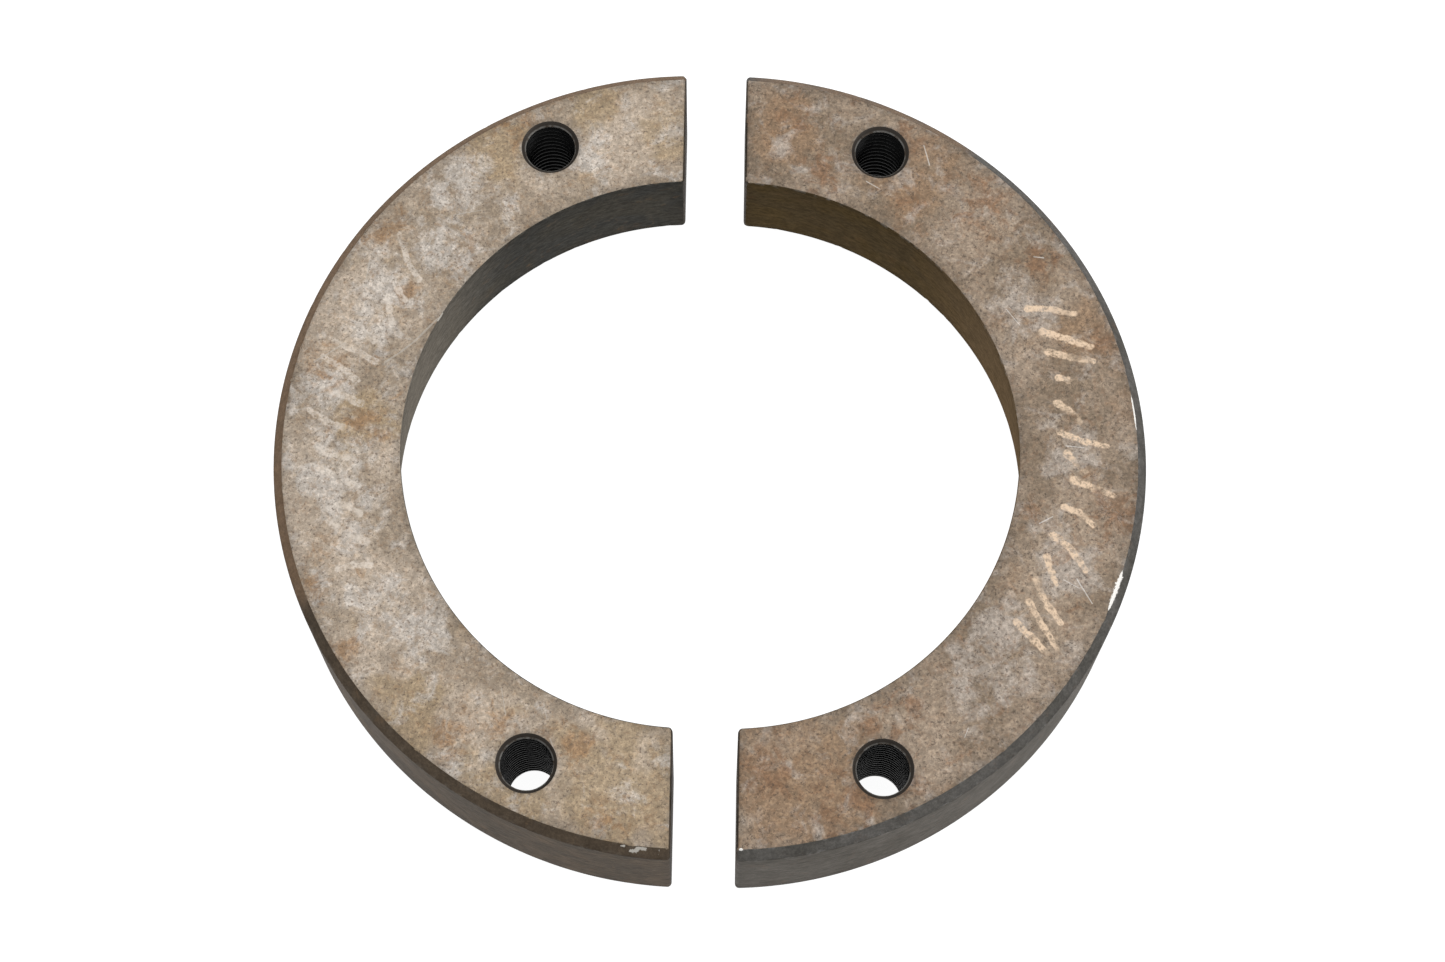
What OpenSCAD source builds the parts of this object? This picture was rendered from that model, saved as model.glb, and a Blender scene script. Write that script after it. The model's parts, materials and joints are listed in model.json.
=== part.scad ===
// Split clamp ring: two thick, loose half rings of steel plate.
// Each half has a tapered bore, wide end down, and two tapped through holes.
// Millimetres, +Z up. The ring lies flat on Z = 0 and the split gap runs along Y.

/* [Ring] */
// Outside diameter
ring_od = 266.7; // [250:0.1:290]
// Thickness, lower face to upper face
ring_h = 44.45; // [30:0.05:60]

/* [Bore] */
// Bore diameter at the upper face, the small end of the taper
bore_top_d = 185; // [170:0.5:190]
// Bore diameter at the lower face, the large end of the taper
bore_base_d = 195; // [190:0.5:200]

/* [Edges] */
// Chamfer on the upper outer edge
top_chamfer = 3; // [1:0.1:5]
// Broken edge on the other turned corners
edge_break = 0.6; // [0.2:0.1:1]

/* [Split] */
// From a half's own centre to its split face
split_cut = 4.1; // [1:0.1:8]
// From the middle of the gap to each half's own centre
half_offset = 5.9; // [0:0.1:20]

/* [Tapped holes] */
// Bore of a tapped hole at its thread crests
tap_minor_d = 16.3; // [12:0.1:18]
// Countersunk mouth, the same at both faces
tap_mouth_d = 19; // [18.5:0.1:20]
// Diameter of the circle the holes lie on
tap_pcd = 230.6; // [225:0.1:235]
// Angle of a hole from the split line
tap_angle = 25; // [15:1:40]

/* [Smoothness] */
// Facets around the ring
ring_facets = 180; // [60:12:360]
// Facets around a hole
hole_facets = 48; // [24:12:96]

/* [Hidden] */

ring_r = ring_od / 2;
bore_top_r = bore_top_d / 2;
bore_base_r = bore_base_d / 2;
sink_depth = (tap_mouth_d - tap_minor_d) / 2; // 45 degree countersink
overrun = 1; // cutters pass this far beyond a face

// Bore radius at height z
function bore_r(z) = bore_base_r - (bore_base_r - bore_top_r) * z / ring_h;

// Turned section of the ring, radius across and height up
module ring_section() {
    polygon([
        [bore_r(0) + edge_break, 0],
        [ring_r - edge_break, 0],
        [ring_r, edge_break],
        [ring_r, ring_h - top_chamfer],
        [ring_r - top_chamfer, ring_h],
        [bore_r(ring_h) + edge_break, ring_h],
        [bore_r(ring_h - edge_break), ring_h - edge_break],
        [bore_r(edge_break), edge_break]
    ]);
}

// Cone that opens upwards from the bore of a hole, standing on Z = 0
module countersink() {
    cylinder(
        h = sink_depth + overrun,
        r1 = tap_minor_d / 2,
        r2 = tap_minor_d / 2 + sink_depth + overrun,
        $fn = hole_facets
    );
}

// Cutter for one tapped hole, on the Z axis
module tapped_hole() {
    translate([0, 0, -overrun])
        cylinder(h = ring_h + 2 * overrun, d = tap_minor_d, $fn = hole_facets);
    translate([0, 0, ring_h - sink_depth]) countersink();
    translate([0, 0, sink_depth]) mirror([0, 0, 1]) countersink();
}

// Half ring on the +X side of its own centre
module half_ring() {
    difference() {
        rotate_extrude($fn = ring_facets) ring_section();
        translate([split_cut - ring_od, -ring_od, -overrun])
            cube([ring_od, 2 * ring_od, ring_h + 2 * overrun]);
        for (side = [-1, 1])
            rotate([0, 0, side * (90 - tap_angle)])
                translate([tap_pcd / 2, 0, 0])
                    tapped_hole();
    }
}

module half_ring_left() {
    color([0.56, 0.52, 0.47])
        rotate([0, 0, 180]) translate([half_offset, 0, 0]) half_ring();
}

module half_ring_right() {
    color([0.44, 0.38, 0.34])
        translate([half_offset, 0, 0]) half_ring();
}

half_ring_left();
half_ring_right();
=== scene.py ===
import json
import math
from random import Random

import bpy
import numpy as np
from mathutils import Matrix, Vector, noise


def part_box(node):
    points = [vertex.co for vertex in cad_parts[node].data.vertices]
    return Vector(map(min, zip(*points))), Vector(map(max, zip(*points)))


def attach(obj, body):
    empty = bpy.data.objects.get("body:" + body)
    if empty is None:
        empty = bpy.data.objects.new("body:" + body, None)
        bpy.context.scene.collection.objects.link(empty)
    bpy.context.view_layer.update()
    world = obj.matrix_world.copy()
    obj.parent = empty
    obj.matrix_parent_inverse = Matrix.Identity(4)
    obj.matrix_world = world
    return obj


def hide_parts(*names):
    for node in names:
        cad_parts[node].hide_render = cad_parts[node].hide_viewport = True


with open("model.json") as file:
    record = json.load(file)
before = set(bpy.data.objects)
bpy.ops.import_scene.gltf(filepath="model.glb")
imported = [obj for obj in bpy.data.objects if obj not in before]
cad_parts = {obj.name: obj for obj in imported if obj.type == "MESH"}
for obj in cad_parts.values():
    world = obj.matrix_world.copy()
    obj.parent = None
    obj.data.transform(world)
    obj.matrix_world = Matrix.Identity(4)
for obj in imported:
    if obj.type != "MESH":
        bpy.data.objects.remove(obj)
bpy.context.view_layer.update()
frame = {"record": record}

# Two loose, thick half rings of rust-mottled steel plate lie on a pale floor.
# The frame is in metres. Lengths below are in millimetres and are turned into metres once.
MM = 0.001

# ---------------------------------------------------------------- sizes of the ring
MOUNTS = {mount["name"]: mount for mount in frame["record"]["mounts"]}
RING_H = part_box("half_ring_right")[1].z / MM
BORE_TOP_R = 92.5       # small end of the tapered bore, at the upper face
BORE_BASE_R = 97.5      # large end, at the lower face
CHAMFER = 3.0           # upper outer edge
TAP_R = MOUNTS["tap_right_far"]["dims"]["r_mm"]
SINK = (RING_H - MOUNTS["tap_right_far"]["dims"]["length_mm"]) / 2
THREAD_PITCH = 2.54     # 3/4-10 UNC
THREAD_R = 9.4          # at the roots of the thread
MOUTH_R = TAP_R + SINK  # countersunk mouth
SINK_LIP = 0.05         # the countersink's mouth is this much smaller, to keep clear of its rounding
SINK_SLOPE = 0.93       # how much its radius shrinks for each mm of depth
THREAD_START = SINK + 0.3  # depth where the thread begins
THREAD_RUN_IN = 0.7     # how steeply it reaches its full depth
THREAD_CLEAR = 0.03     # the thread stays this far inside the countersink
ROOT_FLAT = 0.16        # share of half a pitch that is flat at the roots of the thread
CREST_FLAT = 0.22       # and at its crests

# ---------------------------------------------------------------- mesh resolution
STATIONS = 420          # cross-sections along a half ring
CORE_R = 112            # radius of the line that runs through the middle of the section
CELL = 1.7              # spacing of points across a flat of the section
ARC_STEPS = 5           # points around a rounded corner
CAP_ROUND = 1.4         # rounding where the split face meets the sides
LEAST_ROUND = 0.06      # an inset corner keeps at least this rounding
EDGE_SUPPORT = 0.25     # extra points this far past a rounding keep it crisp
THREAD_COLUMNS = 48
THREAD_ROWS = 10        # rows of points in one pitch
MOUTH_COLUMNS = 96
SHARP_ANGLE = 32        # degrees between faces that makes an edge sharp

# ---------------------------------------------------------------- unevenness of the steel
RIPPLES = ((26, 0.035), (5, 0.012))  # wavelength and height of the ripples in every surface, in mm
# Nicks along each edge of the section, from the lower inner one on: edge, how many, size in mm.
EDGE_NICKS = ((0, 16, 0.9), (1, 20, 0.9), (2, 12, 0.5), (3, 18, 0.5), (4, 14, 0.45))
CUT_NICKS = 16          # and on the edges of each end of the split face
WEAR_REACH = 0.75       # how far the wear of an edge spreads, in mm
NEAR_EDGE_REACH = 2.5       # how far the darkening near an edge reaches, in mm
MOUTH_AWAY = 1.4        # the mouth of a hole counts as this many times further away, so it wears less

# ---------------------------------------------------------------- limits between the zones of the surface
HOLE_MARGIN = 0.3       # a face up to this far outside a countersink can belong to it, in mm
HOLE_LEVEL = 0.93       # unless the upright part of its normal is larger than this
SINK_MARGIN = 0.15      # a face of the countersink may lie this far inside its cone, in mm
CUT_LEVEL = 0.7         # sideways part of the normal from which a face belongs to the split face
LEVEL = 0.9             # upright part of the normal from which a face belongs to the upper or lower face
LEVEL_AT_CUT = 0.6      # the same beside the split face, where the rounding counts too


class Half:
    """Where one half ring lies: its own centre, its radius and its split face, all from the frame."""

    def __init__(self, name):
        self.name = name
        self.node = "half_ring_" + name
        low, high = (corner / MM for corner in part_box(self.node))
        self.side = 1 if low.x > 0 else -1
        near, far = (low.x, high.x) if self.side > 0 else (-high.x, -low.x)
        depth = far - near
        across = high.y ** 2 / depth
        self.radius = (depth + across) / 2
        self.cut = (across - depth) / 2
        self.centre_x = near - self.cut
        turn = Matrix.Rotation(0 if self.side > 0 else math.pi, 4, "Z")
        self.place = turn @ Matrix.Translation((self.centre_x, 0, 0))
        self.taps = [self.place.inverted() @ (Vector(mount["pos_m"]) / MM)
                     for key, mount in MOUNTS.items() if key.startswith("tap_" + name)]

    def corners(self):
        """Corners of the turned section: radius, height and rounding.
        They go anticlockwise from the lower inner one."""
        return [(BORE_BASE_R, 0, 0.6), (self.radius, 0, 0.8), (self.radius, RING_H - CHAMFER, 0.9),
                (self.radius - CHAMFER, RING_H, 0.8), (BORE_TOP_R, RING_H, 0.45)]

    def point(self, angle, radius, height=RING_H):
        """A point of the row frame, in mm. The angle is up from the X axis, on this half's side."""
        turn = math.radians(angle)
        x = self.centre_x + radius * math.cos(turn)
        return Vector((self.side * x, radius * math.sin(turn), height))


# ---------------------------------------------------------------- the body of a half ring
def rounded_section(corners, inset=0.0):
    """Closed outline of the section with rounded corners, as an array of (radius, height).
    With an inset the outline is smaller by that much all round, and has the same number of points."""
    here = np.array([corner[:2] for corner in corners], float)
    back = np.roll(here, 1, axis=0) - here
    ahead = np.roll(here, -1, axis=0) - here
    spans = np.linalg.norm(ahead, axis=1)
    back /= np.linalg.norm(back, axis=1)[:, None]
    ahead /= spans[:, None]
    half_angle = np.arccos((back * ahead).sum(axis=1)) / 2
    middle = (back + ahead) / np.linalg.norm(back + ahead, axis=1)[:, None]
    here += middle * (inset / np.sin(half_angle))[:, None]
    rounding = np.array([max(corner[2] - inset, LEAST_ROUND) for corner in corners])
    reach = rounding / np.tan(half_angle)
    outline = []
    for i in range(len(corners)):
        centre = here[i] + middle[i] * rounding[i] / math.sin(half_angle[i])
        start = here[i] + back[i] * reach[i] - centre
        end = here[i] + ahead[i] * reach[i] - centre
        sweep = math.pi - 2 * half_angle[i]
        for step in range(ARC_STEPS):
            t = step / (ARC_STEPS - 1)
            arc = (math.sin((1 - t) * sweep) * start + math.sin(t * sweep) * end) / math.sin(sweep)
            outline.append(centre + arc)
        following = (i + 1) % len(corners)
        leave = here[i] + ahead[i] * (reach[i] + EDGE_SUPPORT)
        arrive = here[following] + back[following] * (reach[following] + EDGE_SUPPORT)
        steps = max(2, round(spans[i] / CELL))
        outline.extend(leave + (arrive - leave) * k / steps for k in range(steps + 1))
    return np.array(outline)


def sweep_section(half):
    """Cross-sections from one end of the split face to the other, in the half's own frame.
    The array is (station, point, xyz)."""
    corners = half.corners()
    outline = rounded_section(corners)
    # The first section lies in the split face and keeps its flat apart from its rounding.
    ends = [(rounded_section(corners, CAP_ROUND * 3), 0.0)]
    for step in range(ARC_STEPS):
        turn = math.pi / 2 * step / ARC_STEPS
        inset = CAP_ROUND * (1 - math.sin(turn))
        ends.append((rounded_section(corners, inset), CAP_ROUND * (1 - math.cos(turn))))
    stations = []
    for section, depth in ends:
        x = np.full(len(section), half.cut + depth)
        stations.append(np.stack([x, -np.sqrt(section[:, 0] ** 2 - x ** 2), section[:, 1]], axis=1))
    start = half.cut + CAP_ROUND
    reach = np.arccos(start / outline[:, 0])
    first = np.arccos((start + EDGE_SUPPORT) / outline[:, 0])
    turns = [reach] + [first * (1 - 2 * k / STATIONS) for k in range(STATIONS + 1)] + [-reach]
    for turn in turns:
        stations.append(np.stack([outline[:, 0] * np.cos(turn), -outline[:, 0] * np.sin(turn),
                                  outline[:, 1]], axis=1))
    for section in reversed(stations[:len(ends)]):
        stations.append(section * (1, -1, 1))
    return np.array(stations)


def chips(half, seed):
    """Random nicks on the edges of a half ring: place, way in, way along, length, width and depth.
    They lie along the turned edges first, then round the split face."""
    dice = Random(seed)
    corners = half.corners()
    middle = Vector((sum(c[0] for c in corners) / len(corners), RING_H / 2))
    reach = math.degrees(math.acos(half.cut / half.radius))
    found = []
    for index, count, size in EDGE_NICKS:
        radius, height = corners[index][:2]
        for _ in range(count):
            turn = math.radians(dice.uniform(-reach, reach))
            across = Vector((math.cos(turn), math.sin(turn), 0))
            place = across * radius + Vector((0, 0, height))
            slope = (middle - Vector((radius, height))).normalized()
            way_in = (across * slope.x * 1.4 + Vector((0, 0, slope.y))).normalized()
            along = Vector((-math.sin(turn), math.cos(turn), 0))
            length = size * dice.uniform(0.9, 1.6) * (3 if dice.random() < 0.25 else 1)
            found.append((place, way_in, along, length, size * dice.uniform(0.6, 1.3),
                          size * dice.uniform(0.08, 0.3)))
    for end in (-1, 1):
        for _ in range(CUT_NICKS):
            index = dice.choice(range(len(corners)))
            here = Vector(corners[index][:2])
            ahead = Vector(corners[(index + 1) % len(corners)][:2])
            t = dice.random() ** 2
            spot = here + (ahead - here) * t
            x = half.cut
            place = Vector((x, end * math.sqrt(spot.x ** 2 - x ** 2), spot.y))
            inner = (middle - spot).normalized()
            way_in = Vector((0.8, end * inner.x, inner.y)).normalized()
            edge = (ahead - here).normalized()
            along = Vector((0, end * edge.x, edge.y))
            found.append((place, way_in, along, dice.uniform(0.8, 2.2), dice.uniform(0.5, 1.1),
                          dice.uniform(0.1, 0.4)))
    return found


def apply_chips(points, found):
    """Pushes the points near each nick into the metal."""
    for place, way_in, along, length, width, depth in found:
        offset = points - np.array(place)
        close = np.abs(offset).max(axis=1) < max(length, width)
        local = offset[close]
        run = local @ np.array(along)
        rest = np.linalg.norm(local - run[:, None] * np.array(along), axis=1)
        fall = np.clip(1 - (run / length) ** 2 - (rest / width) ** 2, 0, 1) ** 1.5
        points[close] += fall[:, None] * depth * np.array(way_in)


def mesh_from(name, points, faces):
    """A checked mesh of these points and faces."""
    mesh = bpy.data.meshes.new(name)
    mesh.from_pydata([tuple(p) for p in points], [], faces)
    mesh.update()
    mesh.validate()
    return mesh


def half_ring_body(half, seed):
    """The turned and sawn block without its holes, closed, in the half's own frame in mm."""
    stations = sweep_section(half)
    rows, around = stations.shape[:2]
    points = stations.reshape(-1, 3)
    ripple = [sum(abs(noise.noise(Vector(p) / length)) * height for length, height in RIPPLES)
              for p in points]
    to_core = CORE_R / np.linalg.norm(points[:, :2], axis=1)
    core = points * (1, 1, 0) * to_core[:, None] + (0, 0, RING_H / 2)
    way_in = core - points
    points += way_in / np.linalg.norm(way_in, axis=1)[:, None] * np.array(ripple)[:, None]
    apply_chips(points, chips(half, seed))
    faces = [(i * around + j, (i + 1) * around + j,
              (i + 1) * around + (j + 1) % around, i * around + (j + 1) % around)
             for i in range(rows - 1) for j in range(around)]
    faces.append(tuple(range(around)))
    faces.append(tuple((rows - 1) * around + j for j in reversed(range(around))))
    return mesh_from(half.node + "_body", points, faces)


# ---------------------------------------------------------------- the tapped holes
def mouth_radius(depth):
    """Radius of the countersink at a depth below the face."""
    return MOUTH_R - SINK_LIP - SINK_SLOPE * depth


def thread_radius(phase, depth):
    """Radius of the threaded bore at a phase from 0 to 1 of one pitch.
    The thread runs out under the countersink."""
    climb = min(abs(phase - 0.5) * 2, 1)
    t = min(max((climb - ROOT_FLAT) / (1 - ROOT_FLAT - CREST_FLAT), 0), 1)
    cut = THREAD_R + (TAP_R - THREAD_R) * t
    run_in = TAP_R + max(depth - THREAD_START, 0) * THREAD_RUN_IN
    return min(cut, max(mouth_radius(max(depth, 0)) - THREAD_CLEAR, run_in))


def thread_cutter():
    """A closed right-hand screw, longer than the hole, whose ends lie outside the ring."""
    low = -2 * THREAD_PITCH
    rows = round((RING_H - 2 * low) / THREAD_PITCH) * THREAD_ROWS

    def at(row, column):
        """Index of a point. Past the last column the spiral goes on one pitch higher."""
        wraps, column = divmod(column, THREAD_COLUMNS)
        return (row + wraps * THREAD_ROWS) * THREAD_COLUMNS + column

    points = []
    for row in range(rows + 1):
        for column in range(THREAD_COLUMNS):
            share = column / THREAD_COLUMNS
            turn = 2 * math.pi * share
            height = low + THREAD_PITCH * (row / THREAD_ROWS + share)
            radius = thread_radius((row % THREAD_ROWS) / THREAD_ROWS, min(height, RING_H - height))
            points.append((radius * math.cos(turn), radius * math.sin(turn), height))
    faces = []
    for column in range(THREAD_COLUMNS):
        seam = column == THREAD_COLUMNS - 1
        for row in range(rows - (THREAD_ROWS if seam else 0)):
            faces.append((at(row, column), at(row, column + 1),
                          at(row + 1, column + 1), at(row + 1, column)))
    foot = [at(0, c) for c in range(THREAD_COLUMNS)]
    foot += [at(r, 0) for r in range(THREAD_ROWS, 0, -1)]
    head = [at(rows, c) for c in range(THREAD_COLUMNS)]
    head += [at(rows - r, THREAD_COLUMNS - 1) for r in range(1, THREAD_ROWS + 1)]
    for loop, height, order in ((foot, low, -1), (head, low + THREAD_PITCH * rows / THREAD_ROWS, 1)):
        hub = len(points)
        points.append((0, 0, height))
        faces.extend((a, b, hub)[::order] for a, b in zip(loop, loop[1:] + loop[:1]))
    return np.array(points), faces


def mouth_cutter():
    """A closed double cone that breaks the edge of the hole at both faces.
    Each mouth has a small radius."""
    profile = [(MOUTH_R + 1.5, -1.0), (MOUTH_R + 0.1, -0.05)]
    profile += [(mouth_radius(depth), depth) for depth in (0.12, 0.35, SINK + 1.2)]
    profile += [(radius, RING_H - height) for radius, height in reversed(profile)]
    points = []
    for radius, height in profile:
        for column in range(MOUTH_COLUMNS):
            turn = 2 * math.pi * column / MOUTH_COLUMNS
            points.append((radius * math.cos(turn), radius * math.sin(turn), height))
    faces = [(r * MOUTH_COLUMNS + c, r * MOUTH_COLUMNS + (c + 1) % MOUTH_COLUMNS,
              (r + 1) * MOUTH_COLUMNS + (c + 1) % MOUTH_COLUMNS, (r + 1) * MOUTH_COLUMNS + c)
             for r in range(len(profile) - 1) for c in range(MOUTH_COLUMNS)]
    faces.append(tuple(reversed(range(MOUTH_COLUMNS))))
    faces.append(tuple((len(profile) - 1) * MOUTH_COLUMNS + c for c in range(MOUTH_COLUMNS)))
    return np.array(points), faces


def cut_away(body, cutter, places):
    """Cuts one closed shape out of an object at several places."""
    points, faces = cutter
    everything = np.concatenate([points + np.array(place) * (1, 1, 0) for place in places])
    shift = len(points)
    mesh = mesh_from("cutter", everything, [tuple(v + k * shift for v in face)
                                            for k in range(len(places)) for face in faces])
    tool = bpy.data.objects.new("cutter", mesh)
    bpy.context.scene.collection.objects.link(tool)
    step = body.modifiers.new("holes", "BOOLEAN")
    step.operation = "DIFFERENCE"
    step.solver = "MANIFOLD"
    step.object = tool
    result = bpy.data.meshes.new_from_object(body.evaluated_get(bpy.context.evaluated_depsgraph_get()))
    body.modifiers.remove(step)
    body.data = result
    bpy.data.objects.remove(tool)


# ---------------------------------------------------------------- zones and wear of the finished mesh
# Spots: angle up from the X axis in degrees, radius and size in mm. Rust, pale and warm spots are on the
# upper faces; the chamfer's spots are painted light, lighter towards its far side, and so are the bore's,
# lighter at its side.
STAINS = {
    "left": {
        "rust": [(62, 128, 7), (36, 127, 8), (29, 106, 4), (12, 122, 8), (3, 105, 7),
                 (-17, 119, 4), (-23, 128, 6), (-33, 128, 5), (-53, 118, 8), (-57, 108, 6),
                 (-70, 106, 7), (-79, 124, 7)],
        "pale": [(70, 111, 7), (50, 119, 9), (40, 106, 10), (28, 112, 9), (21, 110, 8),
                 (8, 119, 8), (-4, 117, 11), (-12, 110, 9), (-28, 112, 8), (-38, 104, 8)],
        "warm": [(-80, 112, 20), (-64, 122, 12), (-46, 125, 12), (86, 112, 10), (4, 104, 9),
                 (58, 124, 10), (74, 126, 8)],
        # painted light along the chamfer, in spots that grow towards the far side
        "film": [(angle, 132, 10 + angle / 20) for angle in range(-20, 90, 5)],
        # painted light on the bore, lighter at its side
        "wall": [(0, 95, 56)],
    },
    "right": {
        "rust": [(-10, 125, 9), (46, 119, 9), (62, 125, 7), (80, 120, 8), (74, 101, 7),
                 (34, 122, 7), (17, 126, 5), (-60, 103, 8), (-72, 121, 12), (-82, 105, 9),
                 (-65, 125, 8), (-13, 98, 4), (56, 103, 6)],
        "pale": [(0, 112, 8), (28, 106, 9), (-20, 114, 9), (-40, 108, 11), (-33, 104, 8),
                 (-46, 107, 9), (82, 107, 4)],
        "warm": [(-78, 112, 22), (80, 112, 12), (58, 112, 14), (20, 122, 9)],
        # painted light on the far part of the chamfer
        "film": [(angle, 132, 10) for angle in range(58, 90, 8)],
        # painted light on the bore, lighter at its side
        "wall": [(0, 95, 60)],
    },
}
# First and last angle of the row of marker strokes.
HATCHED = {"left": (32, -27), "right": (27, -34)}
# Places rubbed or knocked bright: mm in from the rim and down from the upper face, first and last angle,
# and reach in mm.
RUBS = {
    "left": [(40.85, 0.0, 26, 29, 0.7), (2.1, 0.9, -87.4, -86.2, 0.9), (2.3, 0.7, -85.4, -83.4, 1.0),
             (1.6, 1.4, -84.0, -82.6, 0.7), (2.6, 0.4, -82.2, -81.6, 0.5)],
    "right": [(3.0, 0.0, -24.2, -17.2, 0.85), (3.0, 0.0, 3, 9, 0.4), (3.0, 0.0, -88, -87.2, 0.5)],
}
ZONES = ("top", "rim", "chamfer", "bore", "cut", "sink", "thread", "base")


def zone_of(half, centre, normal):
    """Which kind of surface a face of the half ring is.
    Near the split face the upper and lower faces take in the rounding, except at the bore and the rim."""
    radius = math.hypot(centre.x, centre.y)
    off_axis = min((centre - tap).xy.length for tap in half.taps)
    if off_axis < MOUTH_R + HOLE_MARGIN and abs(normal.z) < HOLE_LEVEL:
        depth = min(centre.z, RING_H - centre.z)
        on_cone = off_axis > mouth_radius(depth) - SINK_MARGIN
        return "sink" if depth < THREAD_START and on_cone else "thread"
    at_cut = centre.x < half.cut + CAP_ROUND
    if at_cut and normal.x < -CUT_LEVEL:
        return "cut"
    inside = abs(radius - CORE_R) < CORE_R - BORE_TOP_R - 1
    level = LEVEL_AT_CUT if at_cut and inside else LEVEL
    if abs(normal.z) > level:
        return "top" if normal.z > 0 else "base"
    if radius < (BORE_TOP_R + half.radius) / 2:
        return "bore"
    return "chamfer" if centre.z > RING_H - CHAMFER - 0.1 else "rim"


def edge_distance(half, points):
    """How far each point is from the nearest edge of the steel, in mm."""
    radius = np.hypot(points[:, 0], points[:, 1])
    section = np.stack([radius, points[:, 2]], axis=1)
    corners = [np.array(corner[:2], float) for corner in half.corners()]
    nearest = np.full(len(points), 99.0)
    outline = np.full(len(points), 99.0)
    for here, ahead in zip(corners, corners[1:] + corners[:1]):
        nearest = np.minimum(nearest, np.linalg.norm(section - here, axis=1))
        along = ahead - here
        share = np.clip((section - here) @ along / (along @ along), 0, 1)
        outline = np.minimum(outline, np.linalg.norm(section - here - share[:, None] * along, axis=1))
    nearest = np.minimum(nearest, np.hypot(points[:, 0] - half.cut, outline))
    for tap in half.taps:
        off_axis = np.hypot(points[:, 0] - tap.x, points[:, 1] - tap.y)
        mouth = np.hypot(off_axis - MOUTH_R, points[:, 2] - RING_H)
        nearest = np.minimum(nearest, mouth * MOUTH_AWAY)
    return nearest


def stain(half, points, spots, drop=2.0):
    """1 in the middle of each round spot, level with the upper face, and 0 outside it.
    The larger drop is, the less far down a spot reaches."""
    amount = np.zeros(len(points))
    for angle, radius, size in spots:
        centre = np.array(half.point(angle, radius))
        distance = np.linalg.norm((points - centre) * (1, 1, drop), axis=1)
        amount = np.maximum(amount, np.clip(1 - (distance / (size * 1.5)) ** 2, 0, 1))
    return amount


def rub(half, points):
    """1 on the stretches of edge that have been rubbed or knocked bright."""
    amount = np.zeros(len(points))
    out = half.side * points[:, 0] - half.centre_x
    angle = np.degrees(np.arctan2(points[:, 1], out))
    for inward, down, first, last, reach in RUBS[half.name]:
        across = np.hypot(points[:, 1], out) - (half.radius - inward)
        distance = np.hypot(across, points[:, 2] - (RING_H - down)) / reach
        along = np.abs(angle - (first + last) / 2) / ((last - first) / 2)
        amount = np.maximum(amount, np.clip(1.4 - distance - np.clip(along, 0, 9) ** 4, 0, 1))
    return amount


def half_ring(half, seed):
    """Makes a finished half ring, in place in the row frame, with its zones as material slots."""
    body = bpy.data.objects.new(half.node + "_steel", half_ring_body(half, seed))
    bpy.context.scene.collection.objects.link(body)
    cut_away(body, mouth_cutter(), half.taps)
    cut_away(body, thread_cutter(), half.taps)
    mesh = body.data
    mesh.name = body.name
    points = np.array([v.co for v in mesh.vertices])
    placed = np.array([half.place @ v.co for v in mesh.vertices])
    edge = edge_distance(half, points)
    spots = STAINS[half.name]
    # wear and rub mark worn metal; the middle value falls off from the edges, darkens the colour there and
    # paints shade in the countersinks
    amounts = {"wear": np.exp(-(edge / WEAR_REACH) ** 2), "grime": np.exp(-edge / NEAR_EDGE_REACH),
               "rub": rub(half, placed)}
    # rust, pale and warm are stains; the chamfer's spots are painted light
    for key in ("rust", "pale", "warm", "film"):
        amounts[key] = stain(half, placed, spots[key])
    # painted light on the bore, reaching far down the wall
    amounts["wall"] = stain(half, placed, spots["wall"], drop=0.5)
    for key, amount in amounts.items():
        values = mesh.attributes.new(key, "FLOAT", "POINT").data
        values.foreach_set("value", amount.astype(np.float32))
    mesh.materials.clear()
    for zone in ZONES:
        mesh.materials.append(MATERIALS[zone](half))
    for face in mesh.polygons:
        face.material_index = ZONES.index(zone_of(half, face.center, face.normal))
        face.use_smooth = True
    mesh.set_sharp_from_angle(angle=math.radians(SHARP_ANGLE))
    mesh.transform(Matrix.Scale(MM, 4) @ half.place)
    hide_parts(half.node)
    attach(body, half.name + "_half")


# ---------------------------------------------------------------- materials
def tone(red, green, blue):
    """A display colour from 0 to 255 as the linear colour a shader takes."""
    linear = [((c / 255 + 0.055) / 1.055) ** 2.4 if c > 10 else c / 255 / 12.92
              for c in (red, green, blue)]
    return (*linear, 1.0)


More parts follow.
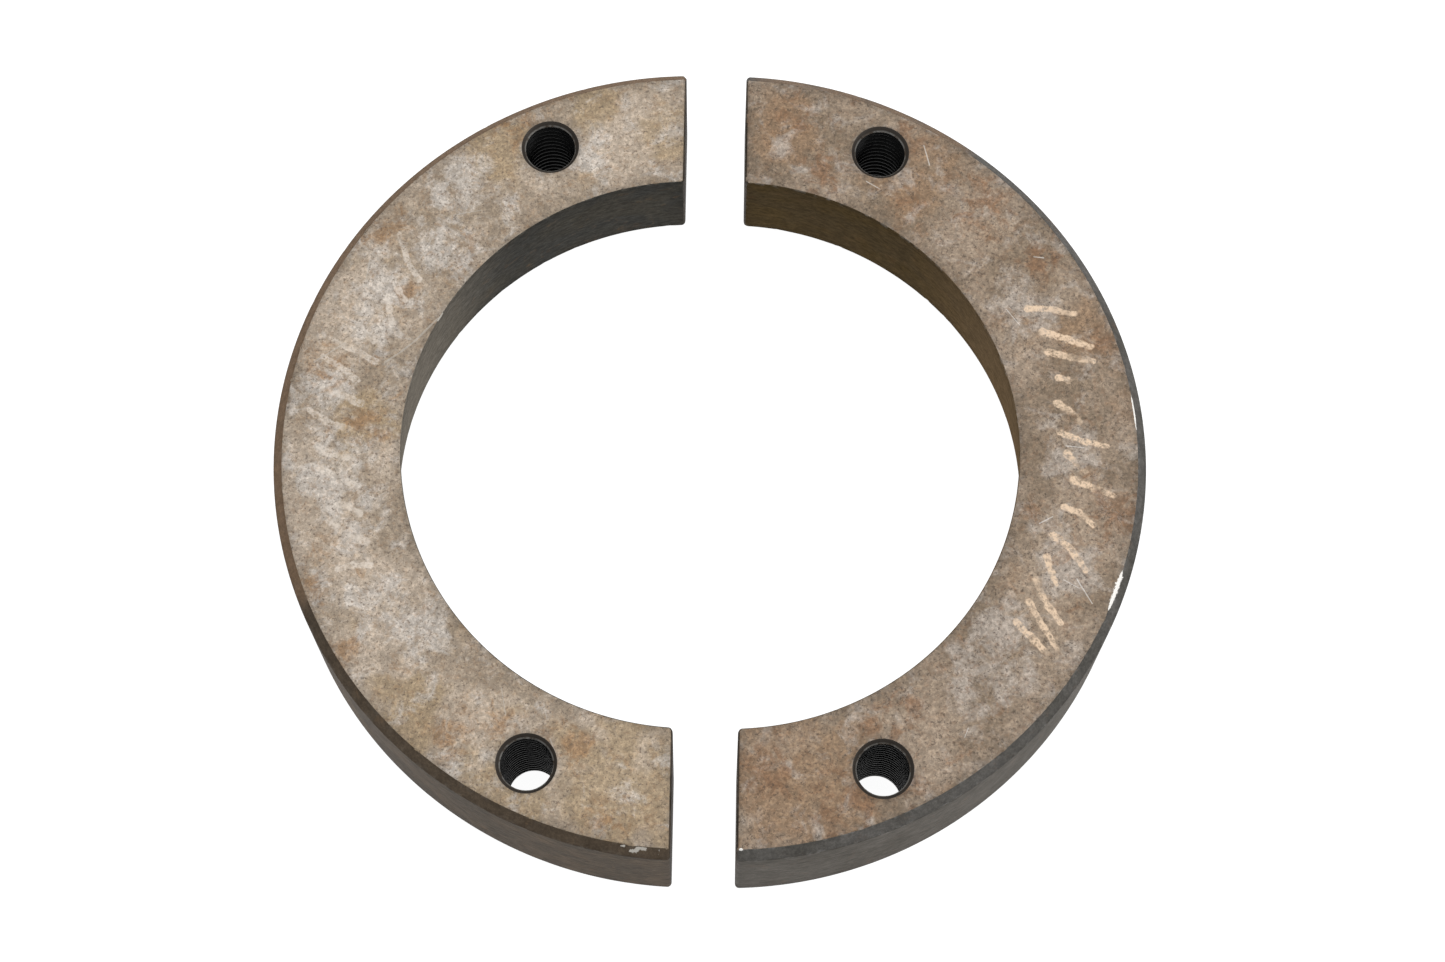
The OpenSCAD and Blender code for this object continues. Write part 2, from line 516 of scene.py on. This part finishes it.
class Graph:
    """The node tree of one material, with a short call for each kind of node used here.
    Lengths are in mm."""

    def __init__(self, name):
        self.material = bpy.data.materials.new(name)
        self.material.use_nodes = True
        self.tree = self.material.node_tree
        self.tree.nodes.clear()
        self.seeds = Random(name)
        self.place = self.vector("SCALE", self.add("ShaderNodeTexCoord").outputs["Object"], scale=1 / MM)

    def add(self, kind, **settings):
        node = self.tree.nodes.new(kind)
        for key, value in settings.items():
            setattr(node, key, value)
        return node

    def put(self, socket, value):
        """Links a value made by another node to a socket, or sets the socket to a constant."""
        if isinstance(value, bpy.types.NodeSocket):
            self.tree.links.new(value, socket)
        else:
            socket.default_value = value

    def vector(self, operation, a, b=None, scale=None):
        node = self.add("ShaderNodeVectorMath", operation=operation)
        self.put(node.inputs[0], a)
        if b is not None:
            self.put(node.inputs[1], b)
        if scale is not None:
            self.put(node.inputs["Scale"], scale)
        return node.outputs["Vector"]

    def math(self, operation, a, b=0.0):
        node = self.add("ShaderNodeMath", operation=operation)
        self.put(node.inputs[0], a)
        self.put(node.inputs[1], b)
        return node.outputs[0]

    def noise(self, size, detail=3.0, roughness=0.55, warp=0.0, stretch=(1, 1, 1)):
        """Noise whose features are about size mm across."""
        shift = [self.seeds.uniform(-50, 50) for _ in range(3)]
        node = self.add("ShaderNodeTexNoise")
        scaled = self.vector("MULTIPLY", self.place, [1 / (size * s) for s in stretch])
        self.put(node.inputs["Vector"], self.vector("ADD", scaled, shift))
        node.inputs["Scale"].default_value = 1.0
        node.inputs["Detail"].default_value = detail
        node.inputs["Roughness"].default_value = roughness
        node.inputs["Distortion"].default_value = warp
        return node.outputs["Fac"]

    def band(self, value, low, high, to=1.0):
        """0 below low, up to "to" above high, with a smooth step between."""
        node = self.add("ShaderNodeMapRange", interpolation_type="SMOOTHSTEP")
        self.put(node.inputs["Value"], value)
        node.inputs["From Min"].default_value = low
        node.inputs["From Max"].default_value = high
        node.inputs["To Max"].default_value = to
        return node.outputs[0]

    def mix(self, amount, a, b):
        """A colour from a to b."""
        node = self.add("ShaderNodeMix", data_type="RGBA")
        self.put(node.inputs["Factor"], amount)
        self.put(node.inputs[6], a)
        self.put(node.inputs[7], b)
        return node.outputs[2]

    def blend(self, amount, a, b):
        """A number from a to b."""
        node = self.add("ShaderNodeMix", data_type="FLOAT")
        self.put(node.inputs["Factor"], amount)
        self.put(node.inputs[2], a)
        self.put(node.inputs[3], b)
        return node.outputs[0]

    def painted(self, name):
        """A value stored at the points of the mesh."""
        return self.add("ShaderNodeAttribute", attribute_name=name).outputs["Fac"]

    def shade(self, amount, colour, low, high):
        """The colour made darker or lighter, from low where amount is 0 to high where it is 1."""
        return self.vector("SCALE", colour, scale=self.blend(amount, low, high))

    def stroke(self, start, end, width, wobble):
        """1 within a stroke drawn from start to end on the upper face, 0 outside it."""
        node = self.add("ShaderNodeGroup", node_tree=STROKE)
        for key, value in (("Place", self.place), ("Start", start), ("Way", end - start),
                           ("Width", width), ("Wobble", wobble)):
            self.put(node.inputs[key], value)
        return node.outputs[0]

    def strokes(self, lines, wobble):
        """1 within any of the strokes."""
        total = 0.0
        for start, end, width in lines:
            total = self.math("MAXIMUM", total, self.stroke(start, end, width, wobble))
        return total

    def finish(self, colour, roughness, metallic, height, depth, gloss=0.3):
        """Joins the shader. depth is how far, in mm, the surface rises from height 0 to 1."""
        shader = self.add("ShaderNodeBsdfPrincipled")
        shader.inputs["Specular IOR Level"].default_value = gloss
        bump = self.add("ShaderNodeBump")
        bump.inputs["Distance"].default_value = depth * MM
        self.put(bump.inputs["Height"], height)
        self.put(shader.inputs["Base Color"], colour)
        self.put(shader.inputs["Roughness"], roughness)
        self.put(shader.inputs["Metallic"], metallic)
        self.put(shader.inputs["Normal"], bump.outputs[0])
        output = self.add("ShaderNodeOutputMaterial")
        self.put(output.inputs["Surface"], shader.outputs[0])
        return self.material


def stroke_group():
    """Node group: a soft-edged stroke from Start along Way, a little narrower at its end."""
    group = bpy.data.node_groups.new("stroke", "ShaderNodeTree")
    for key in ("Place", "Start", "Way"):
        group.interface.new_socket(key, in_out="INPUT", socket_type="NodeSocketVector")
    for key in ("Width", "Wobble"):
        group.interface.new_socket(key, in_out="INPUT", socket_type="NodeSocketFloat")
    group.interface.new_socket("Mask", in_out="OUTPUT", socket_type="NodeSocketFloat")
    nodes = group.nodes
    link = group.links.new
    given = nodes.new("NodeGroupInput").outputs

    def vector(operation, a, b):
        node = nodes.new("ShaderNodeVectorMath")
        node.operation = operation
        link(a, node.inputs[0])
        link(b, node.inputs[3 if operation == "SCALE" else 1])
        return node.outputs["Value" if operation in ("DOT_PRODUCT", "DISTANCE") else "Vector"]

    def number(operation, a, b, clamp=False):
        node = nodes.new("ShaderNodeMath")
        node.operation = operation
        node.use_clamp = clamp
        link(a, node.inputs[0])
        link(b, node.inputs[1])
        return node.outputs[0]

    offset = vector("SUBTRACT", given["Place"], given["Start"])
    share = number("DIVIDE", vector("DOT_PRODUCT", offset, given["Way"]),
                   vector("DOT_PRODUCT", given["Way"], given["Way"]), clamp=True)
    distance = vector("DISTANCE", offset, vector("SCALE", given["Way"], share))
    soft = nodes.new("ShaderNodeMapRange")
    soft.interpolation_type = "SMOOTHSTEP"
    taper = nodes.new("ShaderNodeMapRange")
    link(share, taper.inputs["Value"])
    taper.inputs["To Min"].default_value = 1.0
    taper.inputs["To Max"].default_value = 0.7
    width = number("MULTIPLY", given["Width"], taper.outputs[0])
    wavering = number("ADD", distance, given["Wobble"])
    link(number("DIVIDE", wavering, width), soft.inputs["Value"])
    for key, value in (("From Min", 0.36), ("From Max", 0.62), ("To Min", 1.0), ("To Max", 0.0)):
        soft.inputs[key].default_value = value
    link(soft.outputs[0], nodes.new("NodeGroupOutput").inputs[0])
    return group


STROKE = stroke_group()

# Colours of each half. A wall has a base and a second colour, and paint has a strength too.
PALETTES = {
    "left": {
        "light": tone(176, 160, 142), "dark": tone(143, 127, 108), "pale": tone(190, 182, 173),
        "warm": tone(156, 135, 106), "rust": tone(143, 111, 78), "speck": tone(94, 80, 67),
        "bore": (tone(66, 65, 62), tone(71, 68, 62)), "rim": (tone(82, 68, 52), tone(68, 57, 44)),
        "chamfer": (tone(84, 72, 59), tone(74, 63, 51)), "cut": (tone(78, 68, 58), tone(62, 55, 47)),
        "paint": (tone(224, 212, 198), 0.62), "bare": tone(186, 180, 170),
        # colours of the painted light on the chamfer and on the bore
        "film": tone(124, 100, 78), "wall": tone(114, 108, 99),
    },
    "right": {
        "light": tone(152, 134, 115), "dark": tone(124, 107, 88), "pale": tone(170, 159, 148),
        "warm": tone(139, 113, 87), "rust": tone(126, 94, 67), "speck": tone(70, 58, 48),
        "bore": (tone(76, 64, 46), tone(80, 66, 44)), "rim": (tone(82, 76, 68), tone(70, 64, 55)),
        "chamfer": (tone(92, 89, 85), tone(80, 77, 72)), "cut": (tone(80, 69, 58), tone(62, 54, 46)),
        "paint": (tone(228, 200, 170), 0.92), "bare": tone(238, 234, 228),
        # colours of the painted light on the chamfer and on the bore
        "film": tone(124, 100, 78), "wall": tone(106, 88, 66),
    },
}
# Painted light on the walls: the painted amount, which is also the name of the colour, and its strength.
# It makes the chamfer lighter towards its far side and the bore lighter at its side.
PAINTED_LIGHTS = {"chamfer": ("film", 0.75), "bore": ("wall", 1.0)}
SCRATCHES = 9
GOUGE = ((15.2, 102.7), (18, 99), (21, 96.2), (27, 93.2))  # angle and radius along the gouge
GOUGE_WIDTH = 0.75


def marks(half):
    """A row of plain hatch strokes in faded marker along the middle of the upper face."""
    dice = Random(half.name + " marks")
    angle, last = HATCHED[half.name]
    lines = []
    while angle > last:
        inner = dice.uniform(105, 110)
        length = dice.choice((6, 10, 13, 15))
        lean = dice.uniform(1, 5) * half.side
        bend = dice.uniform(-0.7, 0.7)
        spots = [half.point(angle, inner),
                 half.point(angle - lean / 2 + bend, inner + length / 2),
                 half.point(angle - lean, inner + length)]
        width = dice.uniform(2.2, 3.0)
        lines.extend((here, ahead, width) for here, ahead in zip(spots, spots[1:]))
        angle -= dice.uniform(3.6, 5.4)
    return lines


def scratches(half):
    """Long, fine scratches on the upper face, and one gouge from the bore's edge on the left half."""
    dice = Random(half.name + " scratches")
    lines = []
    for _ in range(SCRATCHES):
        angle = dice.uniform(-70, 70)
        radius = dice.uniform(98, 126)
        start = half.point(angle, radius)
        turn = dice.uniform(-6, 6)
        end = half.point(angle + turn, min(max(radius + dice.uniform(-9, 9), 96), 129))
        lines.append((start, end, dice.uniform(0.25, 0.55)))
    if half.name == "left":
        gouge = [half.point(angle, radius) for angle, radius in GOUGE]
        lines.extend((here, ahead, GOUGE_WIDTH) for here, ahead in zip(gouge, gouge[1:]))
    return lines


def plate(g, colours, rust, pale, warm):
    """Colour, height and clumps of mottled plate: tan oxide with pale and rusty patches, under dense
    light and dark grains."""
    colour = g.mix(g.band(g.noise(30, 3), 0.36, 0.64), colours["dark"], colours["light"])
    warmed = g.math("ADD", g.noise(14, 3), g.math("MULTIPLY", warm, 0.35))
    colour = g.mix(g.band(warmed, 0.56, 0.8, 0.8), colour, colours["warm"])
    clouds = g.math("ADD", g.noise(9, 5, 0.65, 0.5), g.math("MULTIPLY", pale, 0.15))
    colour = g.mix(g.band(clouds, 0.5, 0.7, 0.72), colour, colours["pale"])
    stains = g.math("ADD", g.noise(6, 5, 0.68, 0.7), g.math("MULTIPLY", rust, 0.17))
    colour = g.mix(g.band(stains, 0.55, 0.78, 0.8), colour, colours["rust"])
    clumps = g.noise(3.0, 3, 0.7)
    colour = g.shade(g.band(clumps, 0.3, 0.7), colour, 1.14, 0.84)
    colour = g.mix(g.band(g.noise(1.8, 2, 0.7), 0.5, 0.72, 0.34), colour, colours["rust"])
    grains = g.noise(1.0, 2, 0.75)
    colour = g.mix(g.band(grains, 0.52, 0.7, 0.7), colour, colours["speck"])
    glints = g.noise(1.05, 2, 0.75)
    colour = g.shade(g.band(glints, 0.4, 0.72), colour, 0.88, 1.36)
    # darker near the edges
    colour = g.shade(g.painted("grime"), colour, 1.03, 0.72)
    height = g.math("SUBTRACT", g.math("ADD", g.math("MULTIPLY", glints, 0.6), clumps), grains)
    return colour, height, clumps


def bare_edges(g, colours, colour, amount):
    """Bright metal where an edge is worn through in patches, and where it has been rubbed or knocked."""
    patches = g.math("MULTIPLY", g.painted("wear"), g.band(g.noise(3.2, 3, 0.6), 0.5, 0.68, amount))
    chipped = g.math("MULTIPLY", g.noise(1.3, 3, 0.75), 1.3)
    rubbed = g.band(g.math("ADD", g.painted("rub"), chipped), 1.2, 1.4)
    bare = g.math("MAXIMUM", patches, rubbed)
    return g.mix(bare, colour, colours["bare"]), bare


def top_steel(half):
    """Upper face: mottled plate with faded marker strokes and a few scratches."""
    colours = PALETTES[half.name]
    g = Graph("top_" + half.name)
    colour, height, clumps = plate(g, colours, g.painted("rust"), g.painted("pale"), g.painted("warm"))
    ink, strength = colours["paint"]
    bristles = g.band(g.noise(1.2, 3, 0.75), 0.3, 0.6)
    faded = g.band(g.noise(9, 2), 0.3, 0.52, strength)
    dry_brush = g.math("MULTIPLY", bristles, faded)
    drawn = g.strokes(marks(half), g.blend(g.noise(1.8, 2, 0.6), -0.8, 0.8))
    colour = g.mix(g.math("MULTIPLY", drawn, dry_brush), colour, ink)
    scratched = g.strokes(scratches(half), g.blend(g.noise(0.6, 2), -0.12, 0.12))
    colour = g.mix(g.math("MULTIPLY", scratched, 0.4), colour, colours["bare"])
    colour, bare = bare_edges(g, colours, colour, 0.12)
    return g.finish(colour, g.blend(clumps, 0.5, 0.8), g.math("MULTIPLY", bare, 0.3), height, 0.06)


def wall_steel(half, zone, grain=(1, 1, 1), worn=0.12, mottle=0.25, gloss=0.08):
    """A dark machined wall: oxide film, soft stains, painted light on the chamfer and the bore, darker
    near the edges, fine grain along the tool marks and worn edges.
    """
    base, second = PALETTES[half.name][zone]
    g = Graph(f"{zone}_{half.name}")
    colour = g.mix(g.band(g.noise(22, 3, 0.6, 0.4), 0.38, 0.64), base, second)
    colour = g.mix(g.band(g.noise(7, 5, 0.65, 0.7), 0.56, 0.78, 0.22), colour, PALETTES[half.name]["rust"])
    # painted light: the chamfer lighter towards its far side, the bore lighter at its side
    if zone in PAINTED_LIGHTS:
        film, strength = PAINTED_LIGHTS[zone]
        colour = g.mix(g.band(g.painted(film), 0.0, 1.0, strength), colour, PALETTES[half.name][film])
    clumps = g.noise(2.4, 4, 0.7, stretch=grain)
    colour = g.shade(g.band(clumps, 0.3, 0.7), colour, 1 + mottle, 1 - mottle)
    # darker near the edges
    colour = g.shade(g.painted("grime"), colour, 1.1, 0.82)
    fine = g.noise(0.8, 2, 0.8, stretch=grain)
    colour = g.shade(g.band(fine, 0.35, 0.7), colour, 0.85, 1.15)
    colour, bare = bare_edges(g, PALETTES[half.name], colour, worn)
    height = g.math("ADD", clumps, g.math("MULTIPLY", fine, 0.5))
    return g.finish(colour, g.blend(clumps, 0.5, 0.75), g.math("MULTIPLY", bare, 0.3), height, 0.05, gloss)


def rim_steel(half):
    """Turned outer wall, with the tool marks running round it."""
    return wall_steel(half, "rim", grain=(1.6, 1.6, 0.5))


def chamfer_steel(half):
    """The chamfer, with a softer and more even film, and painted light that makes its far side lighter."""
    return wall_steel(half, "chamfer", worn=0.08, mottle=0.15)


def bore_steel(half):
    """The tapered bore: a smooth, matt film, with painted light that makes it lighter at the side than at
    the far end.
    """
    return wall_steel(half, "bore", grain=(1.4, 1.4, 0.6), gloss=0.0)


def cut_steel(half):
    """The sawn split face, with fine saw marks across it."""
    return wall_steel(half, "cut", grain=(1, 5, 0.5))


def base_steel(half):
    """The lower face, mottled like the upper one but without marks."""
    g = Graph("base_" + half.name)
    colour, height, clumps = plate(g, PALETTES[half.name], 0.3, 0.2, 0.3)
    colour, bare = bare_edges(g, PALETTES[half.name], colour, 0.3)
    return g.finish(colour, g.blend(clumps, 0.5, 0.8), g.math("MULTIPLY", bare, 0.3), height, 0.06)


def sink_steel(half):
    """The countersink at the mouth of a tapped hole: turned metal, browned in places, with painted shade
    on the outer part of the cone and a lighter ring below it as a painted highlight.
    """
    g = Graph("sink_" + half.name)
    stains = g.noise(3.5, 4, 0.7)
    colour = g.mix(g.band(stains, 0.45, 0.62), tone(124, 121, 116), tone(80, 70, 60))
    # painted shade on the outer part of the cone, next to the mouth, so the lighter ring deeper down reads
    # as lit
    colour = g.mix(g.band(g.painted("grime"), 0.4, 0.56), colour, tone(60, 54, 48))
    return g.finish(colour, g.blend(stains, 0.35, 0.6), 0.35, stains, 0.03)


def thread_steel(half):
    """The thread: dark and oily, painted near black as the shade inside the hole, with a dull shine on the
    crests.
    """
    g = Graph("thread_" + half.name)
    stains = g.noise(3, 4, 0.7)
    # painted shade: near black, standing in for the shade inside the hole
    colour = g.mix(g.band(stains, 0.45, 0.7), tone(6, 6, 6), tone(14, 13, 11))
    return g.finish(colour, g.blend(stains, 0.35, 0.55), 0.0, g.noise(0.6, 3, 0.7), 0.01, gloss=0.12)


MATERIALS = {"top": top_steel, "rim": rim_steel, "chamfer": chamfer_steel, "bore": bore_steel,
             "cut": cut_steel, "sink": sink_steel, "thread": thread_steel, "base": base_steel}


# ---------------------------------------------------------------- floor, light and camera
FLOOR_REACH = 12.0      # metres from the middle of the floor to each side
FLOOR_GAP = 0.00005     # metres between the floor and the lower faces
# Soft round lights aimed at the ring's centre: place and size in metres, power in watts.
LIGHTS = {
    "overhead": ((-0.08, 0.16, 1.45), 1.1, 13),
    "back": ((0.1, 1.2, 0.5), 0.6, 2.2),
    "side": ((1.1, -0.05, 0.75), 0.6, 4.5),
}
ELEVATION = 70.35       # the camera's angles in degrees
AZIMUTH = -0.25
ROLL = 1.151
LENS = 69.42            # in mm, on a sensor 36 mm wide
DISTANCE = 6.976        # in outer radii of the ring, like the point that the camera looks at
LOOK_AT = (0.0310, 0.0298, 0)


def floor():
    """A plain pale floor that glows faintly, like a light table."""
    corners = [(x * FLOOR_REACH, y * FLOOR_REACH, 0) for x, y in ((-1, -1), (1, -1), (1, 1), (-1, 1))]
    mesh = bpy.data.meshes.new("floor")
    mesh.from_pydata(corners, [], [(0, 1, 2, 3)])
    plane = bpy.data.objects.new("floor", mesh)
    plane.location.z = -FLOOR_GAP
    bpy.context.scene.collection.objects.link(plane)
    material = bpy.data.materials.new("floor")
    material.use_nodes = True
    shader = material.node_tree.nodes["Principled BSDF"]
    shader.inputs["Base Color"].default_value = (0.3, 0.3, 0.3, 1)
    shader.inputs["Roughness"].default_value = 0.9
    shader.inputs["Specular IOR Level"].default_value = 0.1
    shader.inputs["Emission Color"].default_value = (1, 1, 1, 1)
    shader.inputs["Emission Strength"].default_value = 0.93
    mesh.materials.append(material)


def soft_light(name, place, size, power):
    """A round area light that faces the middle of the ring."""
    light = bpy.data.lights.new(name, "AREA")
    light.shape = "DISK"
    light.size = size
    light.energy = power
    lamp = bpy.data.objects.new(name, light)
    lamp.location = place
    lamp.rotation_euler = (-Vector(place)).to_track_quat("-Z", "Y").to_euler()
    bpy.context.scene.collection.objects.link(lamp)


def lights():
    """An even, slightly blue surround and the soft lights."""
    world = bpy.data.worlds.new("studio")
    world.use_nodes = True
    background = world.node_tree.nodes["Background"]
    background.inputs["Color"].default_value = (0.93, 0.96, 1.0, 1)
    background.inputs["Strength"].default_value = 0.42
    bpy.context.scene.world = world
    for name, (place, size, power) in LIGHTS.items():
        soft_light(name, place, size, power)


def camera():
    """Looks down steeply at the ring from its near side, with a long lens."""
    elevation = math.radians(ELEVATION)
    roll = math.radians(ROLL)
    outer = Half("right").radius * MM
    target = Vector(LOOK_AT) * outer
    turn = Matrix.Rotation(math.radians(AZIMUTH), 3, "Z")
    forward = turn @ Vector((0, math.cos(elevation), -math.sin(elevation)))
    level = turn @ Vector((1, 0, 0))
    rise = level.cross(forward)
    right = level * math.cos(roll) + rise * math.sin(roll)
    up = rise * math.cos(roll) - level * math.sin(roll)
    data = bpy.data.cameras.new("camera")
    data.sensor_width = 36
    data.lens = LENS
    eye = bpy.data.objects.new("camera", data)
    axes = Matrix((right, up, -forward)).transposed()
    eye.matrix_world = Matrix.Translation(target - forward * DISTANCE * outer) @ axes.to_4x4()
    bpy.context.scene.collection.objects.link(eye)
    bpy.context.scene.camera = eye
    bpy.context.scene.view_settings.view_transform = "Standard"


camera()
floor()
lights()
for number, half_name in enumerate(("left", "right")):
    half_ring(Half(half_name), seed=number + 1)
